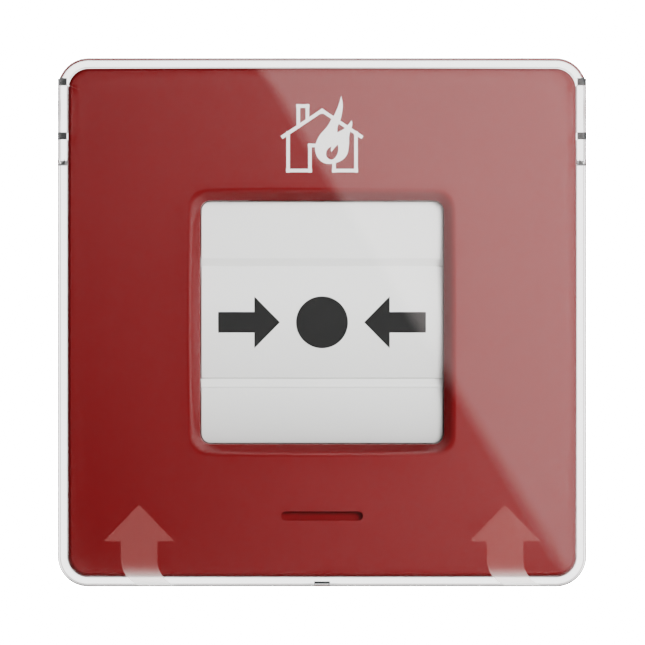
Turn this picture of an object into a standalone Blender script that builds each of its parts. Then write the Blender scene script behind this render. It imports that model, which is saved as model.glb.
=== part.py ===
"""Manual call point: domed square housing, clear hinged lid and a resettable press plate.

Front faces -Y, up is +Z. The wall plane is y = 0 and the middle of the face is x = z = 0.
Sizes below are millimetres, and d is the distance in front of the wall (d = -y).
"""
import math

import bmesh
import bpy
from mathutils import Vector

MM = 0.001

# front cover
COVER_HALF = 49.35
COVER_CORNER = 4.0
COVER_WALL = 2.2
COVER_BACK = 18.8
FACE_TOP = 49.0
FACE_SAG = 0.0012
FACE_SKIN = 2.4
EDGE_ROUND = 0.7

# window and press plate
WINDOW_HALF = 23.6
WINDOW_CORNER = 2.0
WINDOW_WALL = 1.6
WINDOW_FLOOR = 46.0
WINDOW_DEPTH = 42.5
FRAME_WIDTH = 2.3
PLATE_HALF = 23.3
PANEL_HALF = 10.9
LEAF_START = 12.4
PLATE_THICK = 2.2
LEAF_PIVOT_Z = 11.0

# lid
LID_HALF = 51.5
LID_CORNER = 6.0
LID_WALL = 1.8
LID_FRONT = 52.0
LID_INNER = 50.2
LID_SKIRT = 42.0
LID_TOP_SKIRT = 47.0
LID_PIVOT_Z = 41.7
LID_PIVOT_D = 38.7
PIN_RADIUS = 2.2

# rear parts
REAR_HALF = 48.6
REAR_BACK = 3.3
REAR_FRONT = 17.7
REAR_FLOOR = 2.2
REAR_WALL = 2.2
BOSS_AT = 42.0
BOARD_BACK = 26.0
BOARD_THICK = 1.6
BATTERY_RADIUS = 8.4
BATTERY_LENGTH = 33.3
BATTERY_Z = -30.0
BATTERY_D = 14.6

# features of the face
BADGE_Z = -37.8
BADGE_HALF = 8.0
BADGE_HEIGHT = 1.8
BADGE_DEPTH = 2.3
FLAG_HALF = 13.5
FLAG_LOW = 24.1
FLAG_HIGH = 29.4
FLAG_D = 46.6
CATCH_HALF = 1.2
LID_SLOTS = ((35.6, 37.0), (46.1, 47.6))

# wall side
PLATE_SQUARE = 45.0
WALL_PLATE_THICK = 2.5
HOOK_X = 25.0
LOCK_X = 20.0
LOCK_D = 8.4
WALL_SLOT_AT = 30.0
SCREW_RADIUS = 1.5
SCREW_HOLE = 1.75

# mechanism
STEM_END = 38.7
CAM_D = 36.0
CAM_RADIUS = 3.2
PAWL_PIVOT_Z = -22.0
SWITCH_PIVOT_X = 24.5
SWITCH_PIVOT_D = 34.9
SWITCH_LEVER = 18.5
SWITCH_ANGLE = math.radians(10.0)
TAMPER_AT = (30.0, 25.0)
BUTTON_AT = (-30.0, 25.0)


def clear_scene():
    for thing in list(bpy.data.objects):
        bpy.data.objects.remove(thing, do_unlink=True)
    for mesh in list(bpy.data.meshes):
        bpy.data.meshes.remove(mesh)


def paint(name, colour, rough=0.45, metal=0.0, alpha=1.0):
    mat = bpy.data.materials.new(name)
    mat.use_nodes = True
    shader = mat.node_tree.nodes["Principled BSDF"]
    shader.inputs["Base Color"].default_value = (colour[0], colour[1], colour[2], 1.0)
    shader.inputs["Roughness"].default_value = rough
    shader.inputs["Metallic"].default_value = metal
    shader.inputs["Alpha"].default_value = alpha
    mat.diffuse_color = (colour[0], colour[1], colour[2], alpha)
    return mat


def face_depth(x, z):
    """Distance of the domed face in front of the wall."""
    return FACE_TOP - FACE_SAG * (x * x + z * z)


def square_loop(half, corner, depth, steps=7, along=8):
    """Rounded square outline; depth is a number or a function of x and z."""
    ring = []
    for quarter in range(4):
        turn = quarter * math.pi / 2
        start = Vector((half, -(half - corner)))
        end = Vector((half, half - corner))
        flat = [start.lerp(end, i / along) for i in range(along + 1)]
        arc = []
        for i in range(1, steps):
            angle = i / steps * math.pi / 2
            x = half - corner + corner * math.cos(angle)
            z = half - corner + corner * math.sin(angle)
            arc.append(Vector((x, z)))
        for point in flat + arc:
            x = point.x * math.cos(turn) - point.y * math.sin(turn)
            z = point.x * math.sin(turn) + point.y * math.cos(turn)
            d = depth(x, z) if callable(depth) else depth
            ring.append((x, d, z))
    return ring


def finish(name, bm, mat, origin=(0.0, 0.0, 0.0), triangles=False):
    """Turns a bmesh built in (x, d, z) millimetres into an object in metres."""
    for vert in bm.verts:
        x, d, z = vert.co
        vert.co = Vector(((x - origin[0]) * MM, -(d - origin[1]) * MM, (z - origin[2]) * MM))
    bmesh.ops.remove_doubles(bm, verts=bm.verts, dist=0.00001)
    bmesh.ops.recalc_face_normals(bm, faces=bm.faces)
    if triangles:
        bmesh.ops.triangulate(bm, faces=bm.faces)
    mesh = bpy.data.meshes.new(name)
    bm.to_mesh(mesh)
    bm.free()
    part = bpy.data.objects.new(name, mesh)
    part.location = (origin[0] * MM, -origin[1] * MM, origin[2] * MM)
    bpy.context.scene.collection.objects.link(part)
    if mat is not None:
        mesh.materials.append(mat)
    return part


def loft(name, loops, mat, ring=False, origin=(0.0, 0.0, 0.0), triangles=False):
    """Skins a list of equal loops; open ends are capped unless the loops form a ring.

    Curved skins are split into triangles, so that every face is truly flat.
    """
    bm = bmesh.new()
    rows = [[bm.verts.new(p) for p in loop] for loop in loops]
    count = len(rows[0])
    pairs = list(zip(rows, rows[1:]))
    if ring:
        pairs.append((rows[-1], rows[0]))
    for low, high in pairs:
        for i in range(count):
            j = (i + 1) % count
            bm.faces.new((low[i], low[j], high[j], high[i]))
    if not ring:
        bm.faces.new(rows[0])
        bm.faces.new(list(reversed(rows[-1])))
    return finish(name, bm, mat, origin, triangles)


def place(axis, a, u, v):
    """Point with a along the axis and (u, v) across it, as (x, d, z)."""
    if axis == "X":
        return (a, u, v)
    if axis == "D":
        return (u, a, v)
    return (u, v, a)


def prism(name, outline, start, end, mat, axis="D", chamfer=0.0, origin=(0.0, 0.0, 0.0)):
    """Outline (u, v) pushed along an axis; chamfer breaks the edges of both ends."""
    middle = [sum(p[i] for p in outline) / len(outline) for i in (0, 1)]
    span = [max(abs(p[i] - middle[i]) for p in outline) for i in (0, 1)]
    small = []
    for u, v in outline:
        small.append((middle[0] + (u - middle[0]) * (1 - chamfer / span[0]),
                      middle[1] + (v - middle[1]) * (1 - chamfer / span[1])))
    if chamfer > 0:
        steps = [(start, small), (start + chamfer, outline), (end - chamfer, outline), (end, small)]
    else:
        steps = [(start, outline), (end, outline)]
    loops = [[place(axis, a, u, v) for u, v in shape] for a, shape in steps]
    return loft(name, loops, mat, origin=origin)


def rect(u0, u1, v0, v1, corner=0.0, steps=4):
    """Rectangle outline, corners rounded if asked."""
    if corner <= 0:
        return [(u0, v0), (u1, v0), (u1, v1), (u0, v1)]
    points = []
    centres = [(u1 - corner, v1 - corner, 0), (u0 + corner, v1 - corner, 1),
               (u0 + corner, v0 + corner, 2), (u1 - corner, v0 + corner, 3)]
    for cu, cv, quarter in centres:
        for i in range(steps + 1):
            angle = (quarter + i / steps) * math.pi / 2
            points.append((cu + corner * math.cos(angle), cv + corner * math.sin(angle)))
    return points


def circle(u, v, radius, count=24):
    angles = [0.06 + i * 2 * math.pi / count for i in range(count)]
    return [(u + radius * math.cos(a), v + radius * math.sin(a)) for a in angles]


def block(name, x0, x1, d0, d1, z0, z1, mat, corner=0.0, chamfer=0.0, origin=(0.0, 0.0, 0.0)):
    return prism(name, rect(x0, x1, z0, z1, corner), d0, d1, mat, "D", chamfer, origin)


def turned(name, steps, mat, axis="D", centre=(0.0, 0.0), count=24, origin=(0.0, 0.0, 0.0)):
    """Round piece from (position, radius) steps along an axis."""
    loops = []
    for a, radius in steps:
        ring = circle(centre[0], centre[1], radius, count)
        loops.append([place(axis, a, u, v) for u, v in ring])
    return loft(name, loops, mat, origin=origin)


def coil(name, start, end, radius, wire, turns, centre, mat, axis="D", sides=6, per_turn=14):
    """Compression spring: a round wire wound along an axis."""
    total = int(turns * per_turn)
    loops = []
    for i in range(total + 1):
        t = i / total
        angle = t * turns * 2 * math.pi
        a = start + wire + (end - start - 2 * wire) * t
        loop = []
        for k in range(sides):
            around = k * 2 * math.pi / sides
            r = radius + wire * math.cos(around)
            loop.append(place(axis, a + wire * math.sin(around),
                              centre[0] + r * math.cos(angle), centre[1] + r * math.sin(angle)))
        loops.append(loop)
    return loft(name, loops, mat)


def combine(part, tool, operation):
    """Applies one exact boolean and removes the tool."""
    step = part.modifiers.new("step", "BOOLEAN")
    step.operation = operation
    step.solver = "EXACT"
    step.object = tool
    bpy.context.view_layer.update()
    graph = bpy.context.evaluated_depsgraph_get()
    mesh = bpy.data.meshes.new_from_object(part.evaluated_get(graph))
    part.modifiers.clear()
    old = part.data
    part.data = mesh
    mesh.name = part.name
    bpy.data.meshes.remove(old)
    bpy.data.objects.remove(tool, do_unlink=True)
    return part


def cut(part, tool):
    return combine(part, tool, "DIFFERENCE")


def weld(part, tool):
    return combine(part, tool, "UNION")


def face_ring(half, corner, drop):
    return square_loop(half, corner, lambda x, z: face_depth(x, z) - drop)


def front_cover(mat):
    """Red domed front with a square window, made as one shell and then drilled."""
    outer = WINDOW_HALF + FRAME_WIDTH
    r = EDGE_ROUND
    loops = [square_loop(WINDOW_HALF, WINDOW_CORNER, WINDOW_DEPTH),
             square_loop(WINDOW_HALF, WINDOW_CORNER, WINDOW_FLOOR),
             face_ring(outer, 3.6, 0.35),
             face_ring(outer + 0.3, 3.8, 0.1),
             face_ring(outer + 0.8, 4.0, 0.0)]
    for half in (30.0, 36.0, 42.0, 46.0):
        loops.append(face_ring(half, 4.0, 0.0))
    loops.append(face_ring(COVER_HALF - r, COVER_CORNER - r, 0.0))
    loops.append(face_ring(COVER_HALF - r * 0.6, COVER_CORNER - r * 0.6, r * 0.1))
    loops.append(face_ring(COVER_HALF - r * 0.3, COVER_CORNER - r * 0.3, r * 0.3))
    loops.append(face_ring(COVER_HALF - r * 0.08, COVER_CORNER - r * 0.08, r * 0.6))
    loops.append(face_ring(COVER_HALF, COVER_CORNER, r))
    loops.append(square_loop(COVER_HALF, COVER_CORNER, COVER_BACK))
    inner = COVER_HALF - COVER_WALL
    loops.append(square_loop(inner, 2.4, COVER_BACK))
    for half in (inner, 42.0, 36.0, 30.0, WINDOW_HALF + WINDOW_WALL):
        loops.append(face_ring(half, 2.4, FACE_SKIN))
    loops.append(square_loop(WINDOW_HALF + WINDOW_WALL, 2.4, WINDOW_DEPTH))
    part = loft("front_cover", loops, mat, ring=True, triangles=True)
    for side in (-1, 1):
        span = sorted((side * 46.0, side * 50.5))
        socket = [(span[0], PIN_RADIUS + 0.3), (span[1], PIN_RADIUS + 0.3)]
        cut(part, turned("tool", socket, None, "X", (LID_PIVOT_D, LID_PIVOT_Z)))
        for up in (-1, 1):
            at = (side * BOSS_AT, up * BOSS_AT)
            weld(part, turned("tool", [(COVER_BACK, 3.6), (43.3, 3.6)], None, "D", at))
            hole = [(COVER_BACK - 1, SCREW_HOLE), (32.0, SCREW_HOLE)]
            cut(part, turned("tool", hole, None, "D", at))
    cut(part, turned("tool", [(-51.0, CAM_RADIUS + 0.3), (-46.0, CAM_RADIUS + 0.3)], None, "Z",
                     (0.0, CAM_D)))
    weld(part, block("tool", -CATCH_HALF, CATCH_HALF, 42.6, 45.0, -50.9, -48.6, None))
    half = BADGE_HEIGHT / 2
    cut(part, block("tool", -BADGE_HALF, BADGE_HALF, FACE_TOP - BADGE_DEPTH, FACE_TOP,
                    BADGE_Z - half, BADGE_Z + half, None, corner=half))
    channel = FLAG_HALF + 0.6
    cut(part, block("tool", -channel, channel, FLAG_D - 0.55, FLAG_D + 0.55, 22.7,
                    FLAG_HIGH + 0.4, None))
    pocket = FLAG_HALF + 0.8
    cut(part, block("tool", -pocket, pocket, 44.3, FLAG_D, 25.4, FLAG_HIGH + 0.5, None))
    return part


def lid(mat):
    """Clear lid: flat plate with a skirt, deep hinge ears, pins and a catch notch."""
    inner = LID_HALF - LID_WALL
    loops = [square_loop(LID_HALF, LID_CORNER, 34.0),
             square_loop(LID_HALF, LID_CORNER, LID_FRONT - 0.9),
             square_loop(LID_HALF - 0.26, LID_CORNER - 0.26, LID_FRONT - 0.26),
             square_loop(LID_HALF - 0.9, LID_CORNER - 0.9, LID_FRONT),
             square_loop(30.0, LID_CORNER - 0.9, LID_FRONT)]
    part = loft("lid", loops, mat)
    hollow = loft("tool", [square_loop(inner, LID_CORNER - LID_WALL, 30.0),
                           square_loop(inner, LID_CORNER - LID_WALL, LID_INNER)], None)
    cut(part, hollow)
    cut(part, block("tool", -60, 60, 30, LID_SKIRT, -60, 32.0, None))
    cut(part, block("tool", -60, 60, 30, LID_TOP_SKIRT, 46.1, 60, None))
    cut(part, block("tool", -49.65, 49.65, 30, LID_TOP_SKIRT, 40.0, 60, None))
    for side in (-1, 1):
        span = sorted((side * 49.0, side * 52.5))
        for low, high in LID_SLOTS:
            cut(part, block("tool", span[0], span[1], 30, 50.0, low, high, None))
        pin = sorted((side * 49.9, side * 47.5))
        steps = [(pin[0], PIN_RADIUS), (pin[1], PIN_RADIUS)]
        weld(part, turned("tool", steps, None, "X", (LID_PIVOT_D, LID_PIVOT_Z)))
    notch = CATCH_HALF + 0.4
    cut(part, block("tool", -notch, notch, 40.0, 45.4, -52.5, -49.0, None))
    move_origin(part, (0.0, LID_PIVOT_D, LID_PIVOT_Z))
    return part


def move_origin(part, origin):
    """Puts the object origin on its joint axis without moving the shape."""
    target = Vector((origin[0] * MM, -origin[1] * MM, origin[2] * MM))
    shift = part.location - target
    for vert in part.data.vertices:
        vert.co += shift
    part.location = target


def press_plate(mat):
    """Centre panel of the operating element, with its guide stem and latch ledge."""
    back = WINDOW_FLOOR - PLATE_THICK
    part = block("press_plate", -PLATE_HALF, PLATE_HALF, back, WINDOW_FLOOR,
                 -PANEL_HALF, PANEL_HALF, mat, chamfer=0.2, origin=(0.0, back, 0.0))
    weld(part, block("tool", -8.0, 8.0, STEM_END, back + 0.5, -6.0, 6.0, None))
    weld(part, block("tool", 1.9, 4.0, 39.2, 40.4, -7.0, -5.5, None))
    return part


def leaf(name, up, mat):
    """Hinged outer strip of the operating element, with its thin hinge tongue."""
    middle = WINDOW_FLOOR - PLATE_THICK / 2
    back = WINDOW_FLOOR - PLATE_THICK
    z0, z1 = sorted((up * LEAF_START, up * PLATE_HALF))
    t0, t1 = sorted((up * (LEAF_PIVOT_Z + 0.15), up * (LEAF_START + 0.6)))
    part = block(name, -PLATE_HALF, PLATE_HALF, back, WINDOW_FLOOR, z0, z1, mat, corner=1.8,
                 chamfer=0.2)
    n0, n1 = sorted((up * LEAF_START, up * (LEAF_START + 4.0)))
    weld(part, block("tool", -PLATE_HALF, PLATE_HALF, back, WINDOW_FLOOR, n0, n1, None,
                     chamfer=0.2))
    weld(part, block("tool", -PLATE_HALF + 0.3, PLATE_HALF - 0.3, middle - 0.4, middle + 0.4,
                     t0, t1, None))
    move_origin(part, (0.0, middle, up * LEAF_PIVOT_Z))
    return part


def guide_frame(mat):
    """Inner frame: slab with legs, rails for the stem, a pawl post and the flag shelf."""
    part = block("guide_frame", -32.0, 32.0, 31.0, 33.0, -28.0, 30.0, mat, corner=2.0)
    cut(part, block("tool", 11.6, 29.0, 30.0, 34.0, -4.4, 4.4, None))
    for x, z in ((-28.0, -24.0), (28.0, -24.0), (-28.0, 26.0), (28.0, 26.0)):
        weld(part, turned("tool", [(27.9, 2.4), (31.5, 2.4)], None, "D", (x, z), 16))
        top = face_depth(x, z) - FACE_SKIN - 0.5
        weld(part, turned("tool", [(32.5, 2.4), (top, 2.4)], None, "D", (x, z), 16))
    for x0, x1 in ((-8.0, -4.4), (4.6, 8.0)):
        weld(part, block("tool", x0, x1, 32.5, 40.0, -8.5, -6.3, None))
        weld(part, block("tool", x0, x1, 32.5, 40.0, 6.3, 8.5, None))
    weld(part, turned("tool", [(32.5, 1.7), (38.4, 1.7)], None, "D", (0.0, PAWL_PIVOT_Z), 20))
    weld(part, block("tool", -13.0, 13.0, 32.5, 45.8, 26.0, 29.4, None))
    return part


def alarm_flag(mat):
    """Yellow tab that drops into the window when the plate is pressed."""
    part = block("alarm_flag", -FLAG_HALF, FLAG_HALF, FLAG_D - 0.3, FLAG_D + 0.3,
                 FLAG_LOW, FLAG_HIGH, mat)
    move_origin(part, (0.0, FLAG_D, FLAG_LOW))
    return part


def reset_cam(mat):
    """Key barrel through the bottom wall, with a flange, a crank pin and a key slot."""
    steps = [(-49.3, CAM_RADIUS), (-46.8, CAM_RADIUS), (-46.8, 4.4), (-45.2, 4.4),
             (-45.2, CAM_RADIUS), (-36.2, CAM_RADIUS)]
    part = turned("reset_cam", steps, mat, "Z", (0.0, CAM_D), 28)
    weld(part, turned("tool", [(-37.0, 0.9), (-33.4, 0.9)], None, "Z", (0.0, CAM_D + 2.0), 16))
    cut(part, block("tool", -2.2, 2.2, CAM_D - 0.6, CAM_D + 0.6, -50.0, -45.0, None))
    move_origin(part, (0.0, CAM_D, -36.2))
    return part


def latch_pawl(mat):
    """Lever on a post: fork around the crank pin below, hook over the plate ledge above."""
    part = prism("latch_pawl", circle(0.0, PAWL_PIVOT_Z, 3.4, 28), 35.0, 38.2, mat)
    weld(part, block("tool", -1.8, 1.8, 35.8, 37.4, -31.5, -10.0, None))
    weld(part, block("tool", 1.6, 3.6, 37.3, 38.6, -10.4, -7.3, None))
    weld(part, block("tool", -1.8, 3.6, 35.8, 38.0, -12.2, -10.0, None))
    weld(part, block("tool", -2.9, 2.9, 34.4, 39.4, -32.6, -30.9, None))
    weld(part, block("tool", -2.9, -1.5, 34.4, 39.4, -35.8, -32.0, None))
    weld(part, block("tool", 1.5, 2.9, 34.4, 39.4, -35.8, -32.0, None))
    cut(part, turned("tool", [(34.0, 2.0), (39.0, 2.0)], None, "D", (0.0, PAWL_PIVOT_Z), 20))
    move_origin(part, (0.0, 36.6, PAWL_PIVOT_Z))
    return part


def micro_switch(mat):
    """Switch body on the board, with the pivot ears and the small actuating button."""
    part = block("micro_switch", 13.0, 27.0, 27.8, 34.0, -3.2, 3.2, mat, chamfer=0.25)
    weld(part, block("tool", 17.2, 18.8, 33.5, 34.35, -1.0, 1.0, None))
    for z0, z1 in ((-3.0, -2.4), (2.4, 3.0)):
        weld(part, block("tool", 23.4, 25.6, 33.5, 35.6, z0, z1, None))
    return part


def switch_lever(mat):
    """Sheet-metal lever of the switch, drawn raised at rest."""
    lean = Vector((-math.cos(SWITCH_ANGLE), math.sin(SWITCH_ANGLE)))
    side = Vector((math.sin(SWITCH_ANGLE), math.cos(SWITCH_ANGLE))) * 0.25
    hub = Vector((SWITCH_PIVOT_X, SWITCH_PIVOT_D))
    near = hub - lean * 0.4
    far = hub + lean * SWITCH_LEVER
    outline = [tuple(near - side), tuple(near + side), tuple(far + side), tuple(far - side)]
    part = prism("switch_lever", outline, -2.0, 2.0, mat, "Z")
    move_origin(part, (SWITCH_PIVOT_X, SWITCH_PIVOT_D, 0.0))
    return part


def rear_housing(mat):
    """Tray behind the front cover: floor, walls, screw bosses and board posts."""
    part = loft("rear_housing", [square_loop(REAR_HALF - 0.8, 3.2, REAR_BACK),
                                 square_loop(REAR_HALF, 4.0, REAR_BACK + 0.8),
                                 square_loop(REAR_HALF, 4.0, REAR_FRONT)], mat)
    inner = REAR_HALF - REAR_WALL
    cut(part, loft("tool", [square_loop(inner, 1.8, REAR_BACK + REAR_FLOOR),
                            square_loop(inner, 1.8, REAR_FRONT + 3)], None))
    floor = REAR_BACK + REAR_FLOOR
    for x in (-BOSS_AT, BOSS_AT):
        for z in (-BOSS_AT, BOSS_AT):
            weld(part, turned("tool", [(floor - 1, 4.2), (REAR_FRONT, 4.2)], None, "D", (x, z)))
            cut(part, turned("tool", [(2.0, 3.2), (8.0, 3.2)], None, "D", (x, z)))
            hole = [(7.0, SCREW_HOLE), (REAR_FRONT + 1, SCREW_HOLE)]
            cut(part, turned("tool", hole, None, "D", (x, z)))
    for x, z in ((-36.0, 2.0), (36.0, 2.0), (-12.0, 32.0), (12.0, 32.0)):
        weld(part, turned("tool", [(floor - 1, 3.0), (BOARD_BACK - 0.2, 3.0)], None, "D", (x, z), 20))
    for x, z in (TAMPER_AT, BUTTON_AT):
        cut(part, turned("tool", [(2.0, 2.3), (7.0, 2.3)], None, "D", (x, z)))
    for x in (-HOOK_X, HOOK_X):
        cut(part, block("tool", x - 4.0, x + 4.0, 2.0, 7.0, 33.0, 39.0, None))
    cut(part, block("tool", LOCK_X - 4.6, LOCK_X + 4.6, 2.0, 7.0, -45.4, -40.6, None))
    cut(part, turned("tool", [(-50.0, 3.1), (-47.1, 3.1)], None, "Z", (LOCK_X, LOCK_D)))
    cut(part, turned("tool", [(-48.0, 1.7), (-45.0, 1.7)], None, "Z", (LOCK_X, LOCK_D)))
    return part


def mounting_plate(mat):
    """Wall plate with two slotted screw holes, hooks at the top and a locking tab below."""
    part = loft("mounting_plate", [square_loop(PLATE_SQUARE, 4.0, 0.0),
                                   square_loop(PLATE_SQUARE, 4.0, WALL_PLATE_THICK)], mat)
    for x in (-1, 1):
        span = sorted((x * 8.0, x * 17.0))
        for z in (-1, 1):
            rise = sorted((z * 8.0, z * 17.0))
            cut(part, block("tool", *span, -1.0, 4.0, *rise, None, corner=1.5))
    for a in (-WALL_SLOT_AT, WALL_SLOT_AT):
        for x, z in ((a, 0.0), (0.0, a)):
            cut(part, block("tool", x - 4.5, x + 4.5, -1.0, 4.0, z - 2.2, z + 2.2, None, corner=2.1))
    cut(part, turned("tool", [(-1.0, 2.7), (4.0, 2.7)], None, "D", TAMPER_AT))
    for x in (-HOOK_X, HOOK_X):
        weld(part, block("tool", x - 3.2, x + 3.2, 1.0, 7.6, 35.6, 38.2, None))
        weld(part, block("tool", x - 3.2, x + 3.2, 5.9, 7.6, 37.0, 41.2, None))
    weld(part, block("tool", LOCK_X - 4.0, LOCK_X + 4.0, 1.0, 12.0, -44.8, -41.2, None))
    cut(part, turned("tool", [(-46.0, 1.6), (-40.0, 1.6)], None, "Z", (LOCK_X, LOCK_D)))
    return part


def gasket(mat):
    """Rubber seal between the rear tray and the front cover."""
    loops = [square_loop(48.3, 3.8, 17.85), square_loop(48.3, 3.8, 18.65),
             square_loop(47.3, 2.8, 18.65), square_loop(47.3, 2.8, 17.85)]
    return loft("gasket", loops, mat, ring=True)


def circuit_board(mat):
    """Main board, held between the rear posts and the legs of the guide frame."""
    return block("circuit_board", -40.0, 40.0, BOARD_BACK, BOARD_BACK + BOARD_THICK, -37.0, 37.0,
                 mat, corner=2.0)


def board_parts(mats):
    """Pieces soldered to the board: radio, controller, two switches and a wire antenna."""
    front = BOARD_BACK + BOARD_THICK + 0.2
    block("radio_module", -27.0, -9.0, front, front + 2.8, -20.0, -6.0, mats["shield"], chamfer=0.3)
    block("control_chip", -24.0, -14.0, front, front + 1.2, 8.0, 18.0, mats["chip"], chamfer=0.2)
    block("tamper_switch", 27.0, 33.0, 23.3, BOARD_BACK - 0.2, 22.0, 28.0, mats["chip"])
    block("power_switch", -33.0, -27.0, 22.2, BOARD_BACK - 0.2, 22.0, 28.0, mats["chip"])
    antenna = coil("antenna", -22.0, 10.0, 1.7, 0.35, 11, (front + 2.4, 34.0), mats["spring"], "X")
    foot = block("tool", -22.2, -21.2, front, front + 4.4, 33.6, 34.4, None)
    weld(antenna, foot)
    return antenna


def batteries(mats):
    """Two cells end to end in a cradle, with a sprung contact at each end."""
    gap = 0.9
    for name, start in (("battery_left", -gap / 2 - BATTERY_LENGTH - 1.0), ("battery_right", gap / 2)):
        end = start + BATTERY_LENGTH
        steps = [(start, BATTERY_RADIUS - 0.5), (start + 0.5, BATTERY_RADIUS),
                 (end - 0.5, BATTERY_RADIUS), (end, BATTERY_RADIUS - 0.5), (end, 3.2),
                 (end + 1.0, 3.0)]
        turned(name, steps, mats["cell"], "X", (BATTERY_D, BATTERY_Z), 32)
    cradle = block("battery_cradle", -38.2, 38.2, BATTERY_D + 1.0, BOARD_BACK - 0.2,
                   BATTERY_Z - 9.8, BATTERY_Z + 9.8, mats["dark"])
    hole = [(-37.4, BATTERY_RADIUS + 0.3), (37.4, BATTERY_RADIUS + 0.3)]
    cut(cradle, turned("tool", hole, None, "X", (BATTERY_D, BATTERY_Z), 40))
    for name, side, reach in (("contact_left", -1, 1.3), ("contact_right", 1, 1.4)):
        middle = side * 36.8
        sheet = block(name, middle - 0.3, middle + 0.3, 9.0, 22.0, BATTERY_Z - 4.0, BATTERY_Z + 4.0,
                      mats["spring"])
        tip = sorted((middle, middle - side * reach))
        weld(sheet, turned("tool", [(tip[0], 1.6), (tip[1], 1.6)], None, "X",
                           (BATTERY_D, BATTERY_Z), 16))


def screws(mat):
    """Four case screws from the back and the locking screw from below."""
    names = {(-1, -1): "cover_screw_lower_left", (1, -1): "cover_screw_lower_right",
             (-1, 1): "cover_screw_upper_left", (1, 1): "cover_screw_upper_right"}
    for (x, z), name in names.items():
        steps = [(6.2, 2.4), (6.6, 2.8), (7.7, 2.8), (7.7, SCREW_RADIUS), (28.0, SCREW_RADIUS),
                 (29.5, 0.6)]
        part = turned(name, steps, mat, "D", (x * BOSS_AT, z * BOSS_AT))
        drive_slot(part, x * BOSS_AT, z * BOSS_AT)
    steps = [(-48.5, 2.5), (-48.2, 2.8), (-47.4, 2.8), (-47.4, 1.35), (-41.6, 1.35), (-41.0, 0.9)]
    lock = turned("locking_screw", steps, mat, "Z", (LOCK_X, LOCK_D))
    cut(lock, block("tool", LOCK_X - 1.8, LOCK_X + 1.8, LOCK_D - 0.3, LOCK_D + 0.3, -49.0, -47.9,
                    None))


def drive_slot(part, x, z):
    """Cross recess in a screw head."""
    cut(part, block("tool", x - 1.7, x + 1.7, 5.0, 6.9, z - 0.35, z + 0.35, None))
    cut(part, block("tool", x - 0.35, x + 0.35, 5.0, 6.9, z - 1.7, z + 1.7, None))


def plungers(mats):
    """Wall tamper plunger and the power button, both with a collar behind the tray floor."""
    x, z = TAMPER_AT
    steps = [(0.6, 1.7), (0.9, 2.0), (5.8, 2.0), (5.8, 3.6), (6.8, 3.6), (6.8, 2.0), (21.6, 2.0)]
    plunger = turned("tamper_plunger", steps, mats["white"], "D", (x, z))
    move_origin(plunger, (x, 5.8, z))
    x, z = BUTTON_AT
    steps = [(3.8, 1.7), (4.1, 2.0), (5.8, 2.0), (5.8, 3.6), (6.8, 3.6), (6.8, 2.0), (21.2, 2.0)]
    button = turned("power_button", steps, mats["dark"], "D", (x, z))
    move_origin(button, (x, 5.8, z))


def main():
    clear_scene()
    red = paint("cover_red", (0.34, 0.018, 0.018), 0.4)
    rear_red = paint("rear_red", (0.30, 0.016, 0.016), 0.5)
    clear = paint("lid_clear", (0.9, 0.92, 0.93), 0.05, alpha=0.3)
    mats = {"white": paint("plate_white", (0.72, 0.72, 0.71), 0.45),
            "leaf": paint("leaf_white", (0.70, 0.70, 0.69), 0.45),
            "yellow": paint("flag_yellow", (0.85, 0.62, 0.03), 0.5),
            "frame": paint("frame_grey", (0.09, 0.09, 0.10), 0.55),
            "dark": paint("moulded_black", (0.03, 0.03, 0.033), 0.5),
            "rubber": paint("seal_rubber", (0.02, 0.02, 0.02), 0.8),
            "board": paint("board_green", (0.02, 0.14, 0.06), 0.4),
            "shield": paint("shield_metal", (0.72, 0.73, 0.74), 0.3, 1.0),
            "chip": paint("chip_black", (0.025, 0.025, 0.028), 0.4),
            "cell": paint("cell_sleeve", (0.10, 0.16, 0.30), 0.35),
            "spring": paint("spring_steel", (0.70, 0.70, 0.71), 0.25, 1.0),
            "screw": paint("screw_steel", (0.60, 0.60, 0.61), 0.3, 1.0),
            "cam": paint("cam_white", (0.66, 0.66, 0.65), 0.45),
            "pawl": paint("pawl_grey", (0.25, 0.25, 0.27), 0.5),
            "wall": paint("wall_plate_red", (0.28, 0.015, 0.015), 0.5)}
    mounting_plate(mats["wall"])
    rear_housing(rear_red)
    gasket(mats["rubber"])
    front_cover(red)
    guide_frame(mats["frame"])
    circuit_board(mats["board"])
    board_parts(mats)
    batteries(mats)
    screws(mats["screw"])
    plungers(mats)
    micro_switch(mats["chip"])
    switch_lever(mats["spring"])
    press_plate(mats["white"])
    leaf("upper_leaf", 1, mats["leaf"])
    leaf("lower_leaf", -1, mats["leaf"])
    alarm_flag(mats["yellow"])
    coil("return_spring", 33.2, 38.5, 2.5, 0.3, 4, (-4.6, 0.0), mats["spring"])
    reset_cam(mats["cam"])
    latch_pawl(mats["pawl"])
    lid(clear)


main()
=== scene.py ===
"""Looks of the manual call point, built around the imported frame.

Meshes are drawn in millimetres as (x, d, z), where d is the distance in front of the wall,
and turned into metres with the front facing -Y, as in the frame.
"""

import math

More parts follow.
